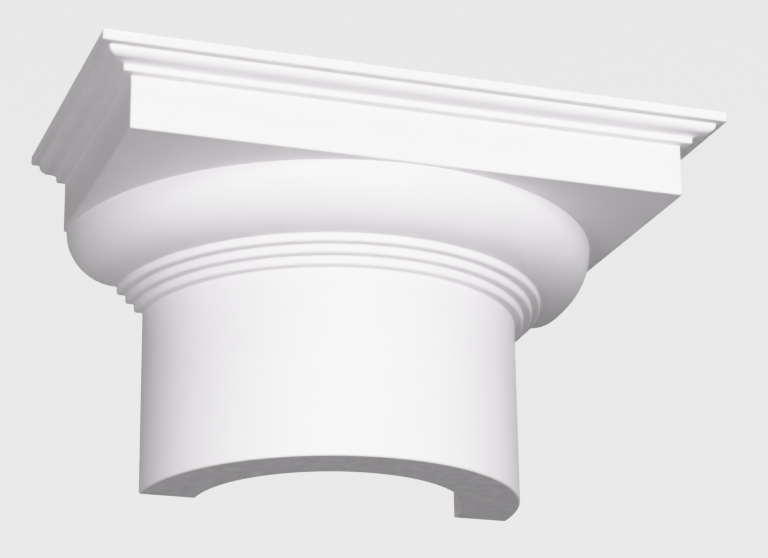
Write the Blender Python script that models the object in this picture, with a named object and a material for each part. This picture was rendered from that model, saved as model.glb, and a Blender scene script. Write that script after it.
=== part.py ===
"""Half-round doric capital: one casting with a flat open back and a half-round channel.

It stands on its underside at z = 0 and faces -Y. The flat back lies in the plane y = BACK_Y,
and the axis of the turned neck and echinus stands in that plane at x = 0.
"""

import math

import bmesh
import bpy
from mathutils import Matrix

# Driving dimensions, in metres. The neck and the channel behind it.
NECK_RADIUS = 0.110
NECK_HEIGHT = 0.106
CHANNEL_RADIUS = 0.0775

# The rings round the head of the neck, each a step wider than the one below.
ANNULETS = 3
ANNULET_HEIGHT = 0.0048
ANNULET_STEP = 0.0051
ECHINUS_RADIUS = 0.030

# The abacus: a plain fascia, then a fillet, a hollow, an ovolo and a top band.
FASCIA_WIDTH = 0.314
FASCIA_DEPTH = 0.158
FASCIA_HEIGHT = 0.0294
FILLET_STEP = 0.0053
FILLET_HEIGHT = 0.0030
HOLLOW_WIDTH = 0.0050
HOLLOW_HEIGHT = 0.0014
OVOLO_WIDTH = 0.0049
OVOLO_HEIGHT = 0.0048
CROWN_STEP = 0.020
BAND_HEIGHT = 0.0058

# Radii of the soft edges that a mould leaves.
FOOT_ARRIS = 0.0014
ANNULET_ARRIS = 0.0015
FASCIA_ARRIS = 0.0012
FILLET_ARRIS = 0.0010
BAND_ARRIS = 0.0012
MITRE_RADIUS = 0.0013

# Facets of the curves, and how far a cutting shape runs past what it cuts.
ARRIS_STEPS = 2
CURVE_STEPS = 12
TURN_STEPS = 128
SHARP_ANGLE = math.radians(20)
CLEAR = 0.010

BACK_Y = (FASCIA_DEPTH + CROWN_STEP) / 2
SOFFIT_Z = NECK_HEIGHT + ANNULETS * ANNULET_HEIGHT + ECHINUS_RADIUS
OVOLO_TOP = FASCIA_HEIGHT + FILLET_HEIGHT + HOLLOW_HEIGHT + OVOLO_HEIGHT
TOP_Z = SOFFIT_Z + OVOLO_TOP + BAND_HEIGHT

PRIMER_WHITE = (0.90, 0.90, 0.91, 1.0)


def clear_scene():
    """Remove every object that the file holds."""
    for thing in list(bpy.data.objects):
        bpy.data.objects.remove(thing)


def quarter_round(centre, across, up, start, end, steps):
    """Points of an ellipse's arc round centre, from start to end in degrees."""
    points = []
    for step in range(steps + 1):
        angle = math.radians(start + (end - start) * step / steps)
        points.append((centre[0] + across * math.cos(angle), centre[1] + up * math.sin(angle)))
    return points


def soft_arris(before, corner, after, radius):
    """The corner of a section, rounded to a radius between its two neighbours."""
    to_before = ((before[0] - corner[0]), (before[1] - corner[1]))
    to_after = ((after[0] - corner[0]), (after[1] - corner[1]))
    before_length = math.hypot(*to_before)
    after_length = math.hypot(*to_after)
    points = []
    for step in range(ARRIS_STEPS + 1):
        angle = math.pi / 2 * step / ARRIS_STEPS
        back = radius * (1 - math.sin(angle)) / before_length
        on = radius * (1 - math.cos(angle)) / after_length
        points.append((
            corner[0] + to_before[0] * back + to_after[0] * on,
            corner[1] + to_before[1] * back + to_after[1] * on,
        ))
    return points


def bell_section():
    """Outer line of neck, annulets and echinus, as (radius, height) from the foot upwards."""
    foot = (NECK_RADIUS, 0.0)
    section = [(0.0, 0.0)]
    section += soft_arris((0.0, 0.0), foot, (NECK_RADIUS, NECK_HEIGHT), FOOT_ARRIS)
    for index in range(ANNULETS):
        inner = NECK_RADIUS + index * ANNULET_STEP
        outer = inner + ANNULET_STEP
        low = NECK_HEIGHT + index * ANNULET_HEIGHT
        high = low + ANNULET_HEIGHT
        section.append((inner, low))
        section += soft_arris((inner, low), (outer, low), (outer, high), ANNULET_ARRIS)
    centre = (NECK_RADIUS + ANNULETS * ANNULET_STEP, SOFFIT_Z)
    section += quarter_round(centre, ECHINUS_RADIUS, ECHINUS_RADIUS, -90, 0, CURVE_STEPS)
    section.append((centre[0] + ECHINUS_RADIUS, SOFFIT_Z + CLEAR))
    section.append((0.0, SOFFIT_Z + CLEAR))
    return section


def abacus_section():
    """Line of the abacus, as (step out from the fascia, height above the soffit)."""
    fillet_foot = (FILLET_STEP, FASCIA_HEIGHT)
    fillet_head = (FILLET_STEP, FASCIA_HEIGHT + FILLET_HEIGHT)
    hollow_centre = (FILLET_STEP + HOLLOW_WIDTH, fillet_head[1])
    ovolo_centre = (hollow_centre[0], OVOLO_TOP)
    ovolo_head = (ovolo_centre[0] + OVOLO_WIDTH, OVOLO_TOP)
    band_foot = (CROWN_STEP, OVOLO_TOP)
    band_head = (CROWN_STEP, OVOLO_TOP + BAND_HEIGHT)
    section = soft_arris((-CLEAR, 0.0), (0.0, 0.0), (0.0, FASCIA_HEIGHT), FASCIA_ARRIS)
    section.append((0.0, FASCIA_HEIGHT))
    section += soft_arris((0.0, FASCIA_HEIGHT), fillet_foot, fillet_head, FILLET_ARRIS)
    section += quarter_round(hollow_centre, HOLLOW_WIDTH, HOLLOW_HEIGHT, 180, 90, ARRIS_STEPS * 2)
    section += quarter_round(ovolo_centre, OVOLO_WIDTH, OVOLO_HEIGHT, -90, 0, CURVE_STEPS)[1:]
    section += soft_arris(ovolo_head, band_foot, band_head, BAND_ARRIS)
    section += soft_arris(band_foot, band_head, (0.0, band_head[1]), BAND_ARRIS)
    return section


def primer_material():
    """Smooth matt white primer on the casting."""
    material = bpy.data.materials.new("white_primer")
    material.use_nodes = True
    shader = material.node_tree.nodes["Principled BSDF"]
    shader.inputs["Base Color"].default_value = PRIMER_WHITE
    shader.inputs["Roughness"].default_value = 0.5
    shader.inputs["Metallic"].default_value = 0.0
    return material


def add_object(name, mesh):
    """Link a new object that holds the mesh."""
    thing = bpy.data.objects.new(name, mesh)
    bpy.context.scene.collection.objects.link(thing)
    return thing


def abacus_mesh():
    """A slab whose front and sides follow the section, with its mitres a little rounded."""
    shape = bmesh.new()
    rings = []
    for step, rise in abacus_section():
        side = FASCIA_WIDTH / 2 + step
        front = BACK_Y - FASCIA_DEPTH - step
        rear = BACK_Y + CLEAR
        centre = (side - MITRE_RADIUS, front + MITRE_RADIUS)
        right = quarter_round(centre, MITRE_RADIUS, MITRE_RADIUS, -90, 0, ARRIS_STEPS)
        left = [(-x, y) for x, y in reversed(right)]
        outline = [(-side, rear)] + left + right + [(side, rear)]
        rings.append([shape.verts.new((x, y, SOFFIT_Z + rise)) for x, y in outline])
    for low, high in zip(rings, rings[1:]):
        for index in range(len(low)):
            after = (index + 1) % len(low)
            shape.faces.new((low[index], low[after], high[after], high[index]))
    shape.faces.new(rings[0])
    shape.faces.new(rings[-1])
    bmesh.ops.recalc_face_normals(shape, faces=shape.faces)
    mesh = bpy.data.meshes.new("half_capital")
    shape.to_mesh(mesh)
    shape.free()
    return mesh


def placed_on_axis(shape, name, height):
    """Turn a round shape half a facet, set it on the upright axis and make it a mesh."""
    turn = Matrix.Rotation(math.pi / TURN_STEPS, 3, "Z")
    bmesh.ops.rotate(shape, verts=shape.verts, cent=(0, 0, 0), matrix=turn)
    bmesh.ops.translate(shape, verts=shape.verts, vec=(0.0, BACK_Y, height))
    bmesh.ops.recalc_face_normals(shape, faces=shape.faces)
    mesh = bpy.data.meshes.new(name)
    shape.to_mesh(mesh)
    shape.free()
    return mesh


def bell_mesh():
    """The section turned once round the upright axis; no corner of it lies in the back plane."""
    shape = bmesh.new()
    line = [shape.verts.new((radius, 0.0, height)) for radius, height in bell_section()]
    edges = [shape.edges.new(pair) for pair in zip(line, line[1:])]
    bmesh.ops.spin(
        shape, geom=line + edges, cent=(0, 0, 0), axis=(0, 0, 1),
        angle=2 * math.pi, steps=TURN_STEPS,
    )
    bmesh.ops.remove_doubles(shape, verts=shape.verts, dist=1e-6)
    return placed_on_axis(shape, "bell_guide", 0.0)


def channel_mesh():
    """A round bar through the whole height; half of it lies in the casting and hollows it."""
    shape = bmesh.new()
    bmesh.ops.create_cone(
        shape, cap_ends=True, segments=TURN_STEPS,
        radius1=CHANNEL_RADIUS, radius2=CHANNEL_RADIUS, depth=TOP_Z + 2 * CLEAR,
    )
    return placed_on_axis(shape, "channel_guide", TOP_Z / 2)


def back_block_mesh():
    """All the space behind the flat back."""
    shape = bmesh.new()
    bmesh.ops.create_cube(shape, size=1.0)
    width = FASCIA_WIDTH + 2 * CROWN_STEP + 2 * CLEAR
    depth = FASCIA_WIDTH
    bmesh.ops.scale(shape, verts=shape.verts, vec=(width, depth, TOP_Z + 2 * CLEAR))
    bmesh.ops.translate(shape, verts=shape.verts, vec=(0.0, BACK_Y + depth / 2, TOP_Z / 2))
    mesh = bpy.data.meshes.new("back_guide")
    shape.to_mesh(mesh)
    shape.free()
    return mesh


def build_half_capital():
    """The casting: abacus joined to the turned bell, bored through and cut flat at the back."""
    capital = add_object("half_capital", abacus_mesh())
    shaping = (
        ("bell_guide", bell_mesh(), "UNION"),
        ("channel_guide", channel_mesh(), "DIFFERENCE"),
        ("back_guide", back_block_mesh(), "DIFFERENCE"),
    )
    for name, mesh, operation in shaping:
        guide = add_object(name, mesh)
        guide.hide_render = True
        guide.display_type = "WIRE"
        modifier = capital.modifiers.new(name, "BOOLEAN")
        modifier.operation = operation
        modifier.object = guide
        modifier.solver = "EXACT"
    capital.data.materials.append(primer_material())
    capital.data.shade_smooth()
    capital.data.set_sharp_from_angle(angle=SHARP_ANGLE)


clear_scene()
build_half_capital()
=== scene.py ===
"""A doric half-column capital, cast in rigid foam and primed white, in a plain pale studio.

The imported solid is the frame: it stands on z = 0, faces -Y, and its flat back is the plane y = BACK_Y.
"""

import math

import bpy
import numpy as np
from mathutils import Matrix, Vector


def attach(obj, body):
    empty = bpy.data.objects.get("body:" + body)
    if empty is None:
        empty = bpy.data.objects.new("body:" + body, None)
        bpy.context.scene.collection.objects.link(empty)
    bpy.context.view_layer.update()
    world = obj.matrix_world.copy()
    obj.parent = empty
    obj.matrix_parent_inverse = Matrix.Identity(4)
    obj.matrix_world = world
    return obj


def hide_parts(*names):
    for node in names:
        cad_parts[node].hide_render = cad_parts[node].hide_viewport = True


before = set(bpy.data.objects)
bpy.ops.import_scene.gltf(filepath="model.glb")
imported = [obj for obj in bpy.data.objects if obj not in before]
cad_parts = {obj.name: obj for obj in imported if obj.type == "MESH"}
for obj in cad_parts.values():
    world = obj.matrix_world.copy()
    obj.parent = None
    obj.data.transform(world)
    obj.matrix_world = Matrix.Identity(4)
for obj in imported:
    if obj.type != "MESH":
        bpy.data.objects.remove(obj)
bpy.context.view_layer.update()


# Neck: the plain half-round end of the shaft, with a channel moulded up its back. The whole capital is
# one pour of rigid polyurethane foam in a silicone mould, so no edge is quite sharp: the mould rounds
# the outer ones and the primer fills the inner ones.
NECK_RADIUS = 0.110
NECK_HEIGHT = 0.106
CHANNEL_RADIUS = 0.0775
FOOT_ARRIS = 0.0014
CHANNEL_ARRIS = 0.0007
PRIMER_FILL = 0.0008
ARRIS_STEPS = 6
FILL_STEPS = 4
GUARD = 0.00022


def soft_line(corners):
    """Section line through right-angled corners, each turned on a quarter of an ellipse.

    A corner is (out, up, reach back, reach on, steps). With t from 0 to 90 degrees, its points are
    corner + back * reach_back * (1 - sin t) + on * reach_on * (1 - cos t), where back and on are the
    unit directions to the corners before and after it. A guard point follows on each flat, close to
    the turn, so that smooth shading stays on the turn. The first and last corners are only ends.
    """
    table = np.array(corners, float)
    places, reaches, steps = table[:, :2], table[:, 2:4], table[:, 4].astype(int)
    ways = np.diff(places, axis=0)
    lengths = np.hypot(*ways.T)
    ways /= lengths[:, None]
    spare = lengths - reaches[:-1, 1] - reaches[1:, 0]
    line = []
    for at in range(1, len(table) - 1):
        back, on = -ways[at - 1], ways[at]
        t = np.linspace(0, math.pi / 2, steps[at] + 1)[:, None]
        if spare[at - 1] > 3 * GUARD:
            line.append(places[at] + back * (reaches[at, 0] + GUARD) + np.zeros((1, 2)))
        line.append(places[at] + back * reaches[at, 0] * (1 - np.sin(t))
                    + on * reaches[at, 1] * (1 - np.cos(t)))
        if spare[at] > 3 * GUARD:
            line.append(places[at] + on * (reaches[at, 1] + GUARD) + np.zeros((1, 2)))
    line = np.concatenate(line)
    apart = np.hypot(*np.diff(line, axis=0, prepend=line[:1] - 1).T) > GUARD / 100
    return line[apart]


def arris(out, up, radius):
    """An outer corner, rounded by the mould."""
    return out, up, radius, radius, ARRIS_STEPS


def filled(out, up):
    """An inner corner, filled a little by the primer."""
    return out, up, PRIMER_FILL, PRIMER_FILL, FILL_STEPS


bell = [
    (CHANNEL_RADIUS, NECK_HEIGHT / 2, 0, 0, 0),
    arris(CHANNEL_RADIUS, 0, CHANNEL_ARRIS),
    arris(NECK_RADIUS, 0, FOOT_ARRIS),
    filled(NECK_RADIUS, NECK_HEIGHT),
]


# Annulets: three narrow rings round the head of the neck, each a step wider than the one below it.
# They are part of the same pour, with flat faces, flat undersides and a round lower edge.
ANNULETS = 3
ANNULET_HEIGHT = 0.0048
ANNULET_STEP = 0.0051
ANNULET_ARRIS = 0.0015

for ring in range(1, ANNULETS + 1):
    ring_radius = NECK_RADIUS + ring * ANNULET_STEP
    ring_foot = NECK_HEIGHT + (ring - 1) * ANNULET_HEIGHT
    bell += [
        arris(ring_radius, ring_foot, ANNULET_ARRIS),
        filled(ring_radius, ring_foot + ANNULET_HEIGHT),
    ]


# Echinus: the plain cushion that swells from the annulets out to the slab, a quarter round in section.
# At the sides it reaches almost to the slab's lower edge, so the primer hardly fills its upper corner.
ECHINUS_RADIUS = 0.030
ECHINUS_STEPS = 32
SOFFIT_FILL = 0.0002

ring_head = NECK_HEIGHT + ANNULETS * ANNULET_HEIGHT
SOFFIT_Z = ring_head + ECHINUS_RADIUS
echinus_out = ring_radius + ECHINUS_RADIUS
bell += [
    (echinus_out, ring_head, ECHINUS_RADIUS - PRIMER_FILL, ECHINUS_RADIUS - SOFFIT_FILL, ECHINUS_STEPS),
    (echinus_out, SOFFIT_Z, SOFFIT_FILL, SOFFIT_FILL, FILL_STEPS),
    (echinus_out + 2 * SOFFIT_FILL, SOFFIT_Z, 0, 0, 0),
]


# Abacus: the square slab over the cushion, with a plain fascia and a small crown moulding: a fillet, a
# hollow running into an ovolo, and a square top band. Its front corners are mitred in the mould.
FASCIA_WIDTH = 0.314
FASCIA_DEPTH = 0.158
FASCIA_HEIGHT = 0.0294
FASCIA_ARRIS = 0.0012
FILLET_STEP = 0.0053
FILLET_ARRIS = 0.0010
HOLLOW_WIDTH = 0.0050
HOLLOW_HEIGHT = 0.0014
HOLLOW_TOP = 0.0338
OVOLO_WIDTH = 0.0049
OVOLO_HEIGHT = 0.0048
OVOLO_STEPS = 16
CROWN_STEP = 0.020
BAND_HEIGHT = 0.0058
BAND_ARRIS = 0.0012
MITRE_RADIUS = 0.0013

ovolo_out = FILLET_STEP + HOLLOW_WIDTH + OVOLO_WIDTH
fillet_z = SOFFIT_Z + FASCIA_HEIGHT
hollow_z = SOFFIT_Z + HOLLOW_TOP
band_z = hollow_z + OVOLO_HEIGHT
TOP_Z = band_z + BAND_HEIGHT
BACK_Y = (FASCIA_DEPTH + CROWN_STEP) / 2
crown = [
    (-FASCIA_HEIGHT, SOFFIT_Z, 0, 0, 0),
    arris(0, SOFFIT_Z, FASCIA_ARRIS),
    filled(0, fillet_z),
    arris(FILLET_STEP, fillet_z, FILLET_ARRIS),
    (FILLET_STEP, hollow_z, HOLLOW_HEIGHT, HOLLOW_WIDTH, ARRIS_STEPS),
    (ovolo_out, hollow_z, OVOLO_WIDTH, OVOLO_HEIGHT - PRIMER_FILL, OVOLO_STEPS),
    filled(ovolo_out, band_z),
    arris(CROWN_STEP, band_z, BAND_ARRIS),
    arris(CROWN_STEP, TOP_Z, BAND_ARRIS),
    (-CROWN_STEP, TOP_Z, 0, 0, 0),
]
seat = [
    (NECK_RADIUS, TOP_Z, 0, 0, 0),
    arris(CHANNEL_RADIUS, TOP_Z, CHANNEL_ARRIS),
    (CHANNEL_RADIUS, NECK_HEIGHT, 0, 0, 0),
]


# The casting: the section lines above carried round the neck's axis and round the slab's three sides,
# in one closed skin. The flat back is trimmed after the pour, and its edges are eased with a sanding block.
SIDE_COLUMNS = 61
FRONT_COLUMNS = 121
MITRE_COLUMNS = 7
MITRE_SPREAD = math.radians(1.2)
BACK_EASE = 0.0004
BACK_STEPS = 4


def columns():
    """The turn of each column round the axis, and how each stands on the slab's plan.

    Across a side the share of its run is tan(turn) over its value at the mitre, so that columns point
    at the axis. Across the front it is the cotangent's share. In a mitre the turn of the small round
    goes evenly from 0 to 90 degrees. Returned as turn, run x, run forward, round x, round forward.
    """
    mitre = math.atan2(FASCIA_DEPTH, FASCIA_WIDTH / 2)
    low, high = mitre - MITRE_SPREAD, mitre + MITRE_SPREAD
    side = np.linspace(0, low, SIDE_COLUMNS)
    corner = np.linspace(0, math.pi / 2, MITRE_COLUMNS)[1:-1]
    between = low + (high - low) * corner / (math.pi / 2)
    front = np.linspace(high, math.pi - high, FRONT_COLUMNS)
    ones = np.ones_like
    left = np.array([
        np.concatenate([side, between]),
        np.concatenate([-ones(side), -ones(corner)]),
        np.concatenate([np.tan(side) / math.tan(low), ones(corner)]),
        np.concatenate([-ones(side), -np.cos(corner)]),
        np.concatenate([0 * side, np.sin(corner)]),
    ])
    middle = np.array([front, -np.tan(high) / np.tan(front), ones(front), 0 * front, ones(front)])
    right = left[:, ::-1] * np.array([-1, -1, 1, -1, 1])[:, None]
    right[0] += math.pi
    return np.concatenate([left, middle, right], axis=1)


turn, run_x, run_on, round_x, round_on = columns()


def round_rows(line):
    """Rows of points round the neck's axis: x = -radius * cos turn, forward = radius * sin turn."""
    radius, height = line[:, :1], line[:, 1:]
    return np.stack([-radius * np.cos(turn), radius * np.sin(turn), height + 0 * turn])


def square_rows(line):
    """Rows of points round the slab's plan, each a step out from the fascia.

    x = run x * (half width + step - mitre radius) + round x * mitre radius, and forward the same way
    from the depth, so a mitre keeps one small radius at every step of the moulding.
    """
    step, height = line[:, :1], line[:, 1:]
    return np.stack([
        run_x * (FASCIA_WIDTH / 2 + step - MITRE_RADIUS) + round_x * MITRE_RADIUS,
        run_on * (FASCIA_DEPTH + step - MITRE_RADIUS) + round_on * MITRE_RADIUS,
        height + 0 * turn,
    ])


def eased_end(across, height, side):
    """The columns that turn from the casting's end section into the flat back.

    With t from 0 to 90 degrees, a point moves into the section along its normal by ease * (1 - cos t)
    and stands ease * (1 - sin t) forward of the back. One more column lies in the back itself.
    """
    section = np.stack([across, height])
    edges = np.roll(section, -1, axis=1) - section
    edges /= np.hypot(*edges)
    mean = edges + np.roll(edges, 1, axis=1)
    mean /= np.hypot(*mean)
    normal = np.stack([mean[1], -mean[0]])
    t = np.append(np.linspace(0, math.pi / 2, BACK_STEPS + 1)[1:], math.pi / 2)
    inset = BACK_EASE * (1 - np.cos(t))
    inset[-1] += GUARD
    forward = BACK_EASE * (1 - np.sin(t))
    moved = section[:, :, None] - normal[:, :, None] * inset
    return np.stack([side * moved[0], forward + 0 * moved[0], moved[1]])


bell_rows, crown_rows, seat_rows = soft_line(bell), soft_line(crown), soft_line(seat)
skin = np.concatenate([round_rows(bell_rows), square_rows(crown_rows), round_rows(seat_rows)], axis=1)
skin[1][:, [0, -1]] = BACK_EASE
left_end = eased_end(-skin[0][:, 0], skin[2][:, 0], -1)[:, :, ::-1]
right_end = eased_end(skin[0][:, -1], skin[2][:, -1], 1)
skin = np.concatenate([left_end, skin, right_end], axis=2)
row_count, column_count = skin.shape[1:]

points = np.stack([skin[0], BACK_Y - skin[1], skin[2]], axis=-1).reshape(-1, 3)
index = np.arange(row_count * column_count).reshape(row_count, column_count)
above = np.roll(index, -1, axis=0)
quads = np.stack([index[:, :-1], index[:, 1:], above[:, 1:], above[:, :-1]], axis=-1)
back_faces = [index[:, 0].tolist(), index[::-1, -1].tolist()]

casting_mesh = bpy.data.meshes.new("primed_capital")
casting_mesh.from_pydata(points.tolist(), [], quads.reshape(-1, 4).tolist() + back_faces)
casting_mesh.shade_smooth()
casting = bpy.data.objects.new("primed_capital", casting_mesh)
bpy.context.scene.collection.objects.link(casting)

# Finish of each face: fully primed, thinly primed (top, channel and back) or trimmed (underside of the
# neck). The three materials below follow in that order.
PRIMED, THIN, TRIMMED = range(3)
level = skin[2, :, column_count // 2]
finish = np.full((row_count, column_count - 1), PRIMED)
finish[(level == 0) & (np.roll(level, -1) == 0)] = TRIMMED
finish[-len(seat_rows) - 1:] = THIN
finish[:, :BACK_STEPS + 1] = THIN
finish[:, -BACK_STEPS - 1:] = THIN
casting_mesh.polygons.foreach_set("material_index", np.append(finish.ravel(), [THIN] * len(back_faces)))


def linear(code):
    """Linear colour of an sRGB hex code: c / 12.92 up to 0.04045, above it ((c + 0.055) / 1.055) ** 2.4."""
    c = np.array([int(code[at:at + 2], 16) for at in (1, 3, 5)]) / 255
    return *np.where(c <= 0.04045, c / 12.92, ((c + 0.055) / 1.055) ** 2.4).tolist(), 1.0


def add_node(tree, kind, inputs=(), **settings):
    """Add a node: settings are its own, and inputs gives each socket a value or another node's output."""
    made = tree.nodes.new(kind)
    for name, value in settings.items():
        setattr(made, name, value)
    for socket, value in dict(inputs).items():
        if isinstance(value, bpy.types.NodeSocket):
            tree.links.new(value, made.inputs[socket])
        else:
            made.inputs[socket].default_value = value
    return made


def finish_material(name):
    """An empty node material with its shader and the piece's own coordinates."""
    material = bpy.data.materials.new(name)
    material.use_nodes = True
    tree = material.node_tree
    place = add_node(tree, "ShaderNodeTexCoord").outputs["Object"]
    return material, tree, tree.nodes["Principled BSDF"], place


# Matt acrylic primer, on all that shows: a sprayed white coat that hides the foam and scatters light
# broadly, so faces look smooth and chalky, with no highlight sharper than a soft gleam.
primer, tree, shader, place = finish_material("matt_acrylic_primer")
# Cloudy: the sprayed coat is a little thinner here and there, over patches of some 16 mm.
coat = add_node(tree, "ShaderNodeTexNoise", {"Vector": place, "Scale": 1 / 0.016, "Detail": 3})
film = add_node(tree, "ShaderNodeMix", {
    "Factor": coat.outputs["Fac"], "A": linear("#EFEBEF"), "B": linear("#F5F2F5"),
}, data_type="RGBA")
# Wavy: the rubber mould gives faces that are a tenth of a millimetre out of true over a hand's breadth.
wave = add_node(tree, "ShaderNodeTexNoise", {"Vector": place, "Scale": 1 / 0.045, "Detail": 1})
waviness = add_node(tree, "ShaderNodeBump", {"Height": wave.outputs["Fac"], "Distance": 0.0002})
# Orange peel: spray leaves ripples of 1 mm; they are drawn at 2.5 mm, the finest that the picture holds.
ripple = add_node(tree, "ShaderNodeTexNoise", {"Vector": place, "Scale": 1 / 0.0025, "Detail": 2})
peel = add_node(tree, "ShaderNodeBump", {
    "Height": ripple.outputs["Fac"], "Distance": 0.00003, "Normal": waviness.outputs["Normal"],
})
sheen_spread = add_node(tree, "ShaderNodeMapRange", {
    "Value": coat.outputs["Fac"], "To Min": 0.62, "To Max": 0.50,
})
tree.links.new(film.outputs["Result"], shader.inputs["Base Color"])
tree.links.new(peel.outputs["Normal"], shader.inputs["Normal"])
tree.links.new(sheen_spread.outputs["Result"], shader.inputs["Roughness"])
casting_mesh.materials.append(primer)

# Thinly primed foam skin, on the back, the channel and the top, which nobody sees once it is up: duller
# and a shade warmer than the front, with pores, and scratches where the block trimmed it.
foam, tree, shader, place = finish_material("thinly_primed_foam_skin")
# Overspray: only a mist of primer reaches the back, the channel and the top, and warm foam shows through.
mist = add_node(tree, "ShaderNodeTexNoise", {"Vector": place, "Scale": 1 / 0.030, "Detail": 5})
misted = add_node(tree, "ShaderNodeMix", {
    "Factor": mist.outputs["Fac"], "A": linear("#DBD7D4"), "B": linear("#E7E4E5"),
}, data_type="RGBA")
# Pores: bubbles break the foam's skin. A cell of 5 mm holds one at most, of its own width up to 1.6 mm,
# and about one cell in three holds one wide enough to see.
cell = add_node(tree, "ShaderNodeTexVoronoi", {"Vector": place, "Scale": 1 / 0.005})
chance = add_node(tree, "ShaderNodeSeparateColor", {"Color": cell.outputs["Color"]})
width = add_node(tree, "ShaderNodeMapRange", {
    "Value": chance.outputs["Red"], "From Min": 0.65, "To Min": -0.06, "To Max": 0.10,
})
brim = add_node(tree, "ShaderNodeMath", {0: width.outputs["Result"], 1: 0.06}, operation="ADD")
pore = add_node(tree, "ShaderNodeMapRange", {
    "Value": cell.outputs["Distance"], "From Min": width.outputs["Result"],
    "From Max": brim.outputs["Value"],
})
pitted = add_node(tree, "ShaderNodeMix", {
    "Factor": pore.outputs["Result"], "A": linear("#C3BFBB"), "B": misted.outputs["Result"],
}, data_type="RGBA")
# Trimming: the sanding block leaves fine level scratches, drawn 1.5 mm apart and 60 mm long.
long_way = add_node(tree, "ShaderNodeMapping", {
    "Vector": place, "Scale": (1 / 0.06, 1 / 0.0015, 1 / 0.0015),
})
scratch = add_node(tree, "ShaderNodeTexNoise", {
    "Vector": long_way.outputs["Vector"], "Scale": 1, "Detail": 2,
})
scratched = add_node(tree, "ShaderNodeBump", {"Height": scratch.outputs["Fac"], "Distance": 0.00008})
holes = add_node(tree, "ShaderNodeBump", {
    "Height": pore.outputs["Result"], "Distance": 0.0003, "Normal": scratched.outputs["Normal"],
})
tree.links.new(pitted.outputs["Result"], shader.inputs["Base Color"])
tree.links.new(holes.outputs["Normal"], shader.inputs["Normal"])
shader.inputs["Roughness"].default_value = 0.75
casting_mesh.materials.append(foam)

# Trimmed and primed foot: the underside of the neck is sawn square, and the primer soaks into the cut
# unevenly, so it is mottled where the moulded faces are smooth.
foot, tree, shader, place = finish_material("trimmed_primed_foot")
# Mottle: soft patches of some 7 mm, with finer ones in them.
patch = add_node(tree, "ShaderNodeTexNoise", {"Vector": place, "Scale": 1 / 0.007, "Detail": 3})
soaked = add_node(tree, "ShaderNodeMapRange", {
    "Value": patch.outputs["Fac"], "From Min": 0.33, "From Max": 0.67,
})
mottle = add_node(tree, "ShaderNodeMix", {
    "Factor": soaked.outputs["Result"], "A": linear("#EBE7EB"), "B": linear("#F8F5F8"),
}, data_type="RGBA")
# Torn cells: the saw leaves the cut a tenth of a millimetre rough.
torn = add_node(tree, "ShaderNodeBump", {"Height": patch.outputs["Fac"], "Distance": 0.00015})
tree.links.new(mottle.outputs["Result"], shader.inputs["Base Color"])
tree.links.new(torn.outputs["Normal"], shader.inputs["Normal"])
shader.inputs["Roughness"].default_value = 0.8
casting_mesh.materials.append(foot)

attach(casting, "root")
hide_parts("half_capital")


# Light tent: a seamless pale floor that curves up into walls and a roof, so every side shows the same
# plain ground. The capital hangs well above the floor, because the photograph looks up at it from below.
FLOOR_Z = -2.4
ROOF_Z = 6.0
FLOOR_RADIUS = 3.0
FLAT_MIDDLE = 0.5
SWEEP_RADIUS = 2.0
SWEEP_STEPS = 24
TENT_STEPS = 96
TENT_GLOW = 0.82
AIR_GLOW = 0.096


def turned_sheet(name, line, count):
    """A line of (radius, height) turned once round the upright axis and closed at both ends, facing in."""
    angle = np.arange(count) * 2 * math.pi / count
    radius, height = line[:, :1], line[:, 1:]
    rows = np.stack([radius * np.cos(angle), radius * np.sin(angle), height + 0 * angle], axis=-1)
    index = np.arange(len(line) * count).reshape(len(line), count)
    after = np.roll(index, -1, axis=1)
    quads = np.stack([index[:-1], index[1:], after[1:], after[:-1]], axis=-1)
    mesh = bpy.data.meshes.new(name)
    mesh.from_pydata(rows.reshape(-1, 3).tolist(), [],
                     quads.reshape(-1, 4).tolist() + [index[0].tolist(), index[-1, ::-1].tolist()])
    mesh.shade_smooth()
    sheet = bpy.data.objects.new(name, mesh)
    bpy.context.scene.collection.objects.link(sheet)
    return sheet


sweep = np.linspace(0, math.pi / 2, SWEEP_STEPS + 1)
out, rise = FLOOR_RADIUS + SWEEP_RADIUS * np.sin(sweep), SWEEP_RADIUS * (1 - np.cos(sweep))
floor_line = np.stack([np.append(FLAT_MIDDLE, out), np.append(0, rise) + FLOOR_Z], axis=-1)
roof_line = floor_line[::-1] * [1, -1] + [0, FLOOR_Z + ROOF_Z]
tent = turned_sheet("floor_and_tent", np.concatenate([floor_line, roof_line]), TENT_STEPS)
# Backlit paper: thin matt paper with light behind it, as pale from every side. The light fades a little
# towards the floor, so that the white top stands out from above.
paper, tree, shader, place = finish_material("backlit_paper")
axes = add_node(tree, "ShaderNodeSeparateXYZ", {"Vector": place})
fade = add_node(tree, "ShaderNodeMapRange", {
    "Value": axes.outputs["Z"], "From Min": FLOOR_Z, "From Max": FLOOR_Z + SWEEP_RADIUS,
}, interpolation_type="SMOOTHSTEP")
glow = add_node(tree, "ShaderNodeMix", {
    "Factor": fade.outputs["Result"], "A": linear("#D6D6D6"), "B": linear("#FFFFFF"),
}, data_type="RGBA")
shader.inputs["Base Color"].default_value = linear("#808080")
shader.inputs["Roughness"].default_value = 0.9
tree.links.new(glow.outputs["Result"], shader.inputs["Emission Color"])
shader.inputs["Emission Strength"].default_value = TENT_GLOW
tent.data.materials.append(paper)
# The tent is only a ground to be seen: it neither lights the capital nor shades it.
for ray in ("diffuse", "glossy", "shadow", "transmission"):
    setattr(tent, "visible_" + ray, False)

# Air: a little even light from all round takes the place of what a real tent would throw back.
world = bpy.data.worlds.new("studio_air")
bpy.context.scene.world = world
world.use_nodes = True
air = world.node_tree.nodes["Background"]
air.inputs["Color"].default_value = linear("#FFFFFF")
air.inputs["Strength"].default_value = AIR_GLOW


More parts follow.
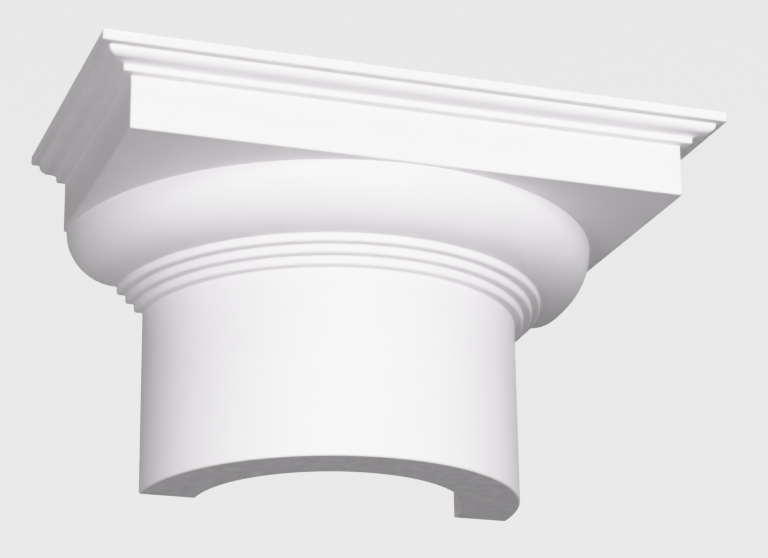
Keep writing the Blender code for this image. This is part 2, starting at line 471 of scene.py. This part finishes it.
def softbox(name, azimuth, elevation, distance, size, power):
    """A square soft light that faces the capital, seen from it at that azimuth and height, in degrees."""
    aim = Vector((0, 0, TOP_Z / 2))
    a, e = math.radians(azimuth), math.radians(elevation)
    way = Vector((math.sin(a) * math.cos(e), -math.cos(a) * math.cos(e), math.sin(e)))
    lamp = bpy.data.lights.new(name, "AREA")
    lamp.shape = "SQUARE"
    lamp.size = size
    lamp.energy = power
    box = bpy.data.objects.new(name, lamp)
    bpy.context.scene.collection.objects.link(box)
    box.location = aim + way * distance
    box.rotation_euler = way.to_track_quat("Z", "Y").to_euler()
    box.visible_camera = False


# Name, azimuth and elevation in degrees, distance and width in metres, power in watts.
softbox("front_key", -15, 0, 2.5, 1.2, 43.7)
softbox("low_key", 0, -20, 2.5, 1.2, 17.9)
softbox("low_left_fill", -60, -30, 2.5, 1.0, 11.9)
softbox("high_left_fill", -30, 50, 2.5, 1.0, 11.5)
softbox("near_right_fill", 40, 0, 0.85, 0.5, 1.6)
softbox("right_rim", 120, 0, 2.5, 1.0, 5.5)
softbox("top_box", 0, 90, 2.5, 1.5, 45)
softbox("back_box", 155, 35, 2.5, 1.5, 40)

# Camera: below the capital and to its left, looking up, with the lens that the photograph's
# perspective gives.
LENS = 117.156
SENSOR_WIDTH = 36
EYE = (-0.43104, -1.22603, -0.35985)
YAW, PITCH, ROLL = 0.3416, 0.3455, -0.0139

camera = bpy.data.objects.new("camera", bpy.data.cameras.new("camera"))
bpy.context.scene.collection.objects.link(camera)
camera.data.lens = LENS
camera.data.sensor_width = SENSOR_WIDTH
ahead = Vector((math.sin(YAW) * math.cos(PITCH), math.cos(YAW) * math.cos(PITCH), math.sin(PITCH)))
across = Vector((math.cos(YAW), -math.sin(YAW), 0))
upward = across.cross(ahead)
right = math.cos(ROLL) * across + math.sin(ROLL) * upward
upright = -math.sin(ROLL) * across + math.cos(ROLL) * upward
camera.matrix_world = Matrix.Translation(EYE) @ Matrix((right, upright, -ahead)).transposed().to_4x4()
bpy.context.scene.camera = camera

# Tone: the picture keeps some drawing in its whites, as a print does. Tones follow the light up to a knee
# and then near full white by knee + room * (1 - exp(-over / room)), where over is the light past the knee.
KNEE = 0.65
FULL_LIGHT = 2.0
BEND_POINTS = 14
ALL_COLOURS = 3
tones = np.append(0, np.linspace(KNEE, FULL_LIGHT, BEND_POINTS))
room = 1 - KNEE
shown = np.where(tones > KNEE, KNEE + room * (1 - np.exp((KNEE - tones) / room)), tones)
view = bpy.context.scene.view_settings
view.view_transform = "Standard"
view.use_curve_mapping = True
view.curve_mapping.white_level = [FULL_LIGHT] * 3
curve = view.curve_mapping.curves[ALL_COLOURS]
for light, tone in zip(tones[1:-1], shown[1:-1]):
    curve.points.new(light / FULL_LIGHT, tone)
curve.points[-1].location = (1, shown[-1])
for point in curve.points:
    point.handle_type = "VECTOR"
view.curve_mapping.update()
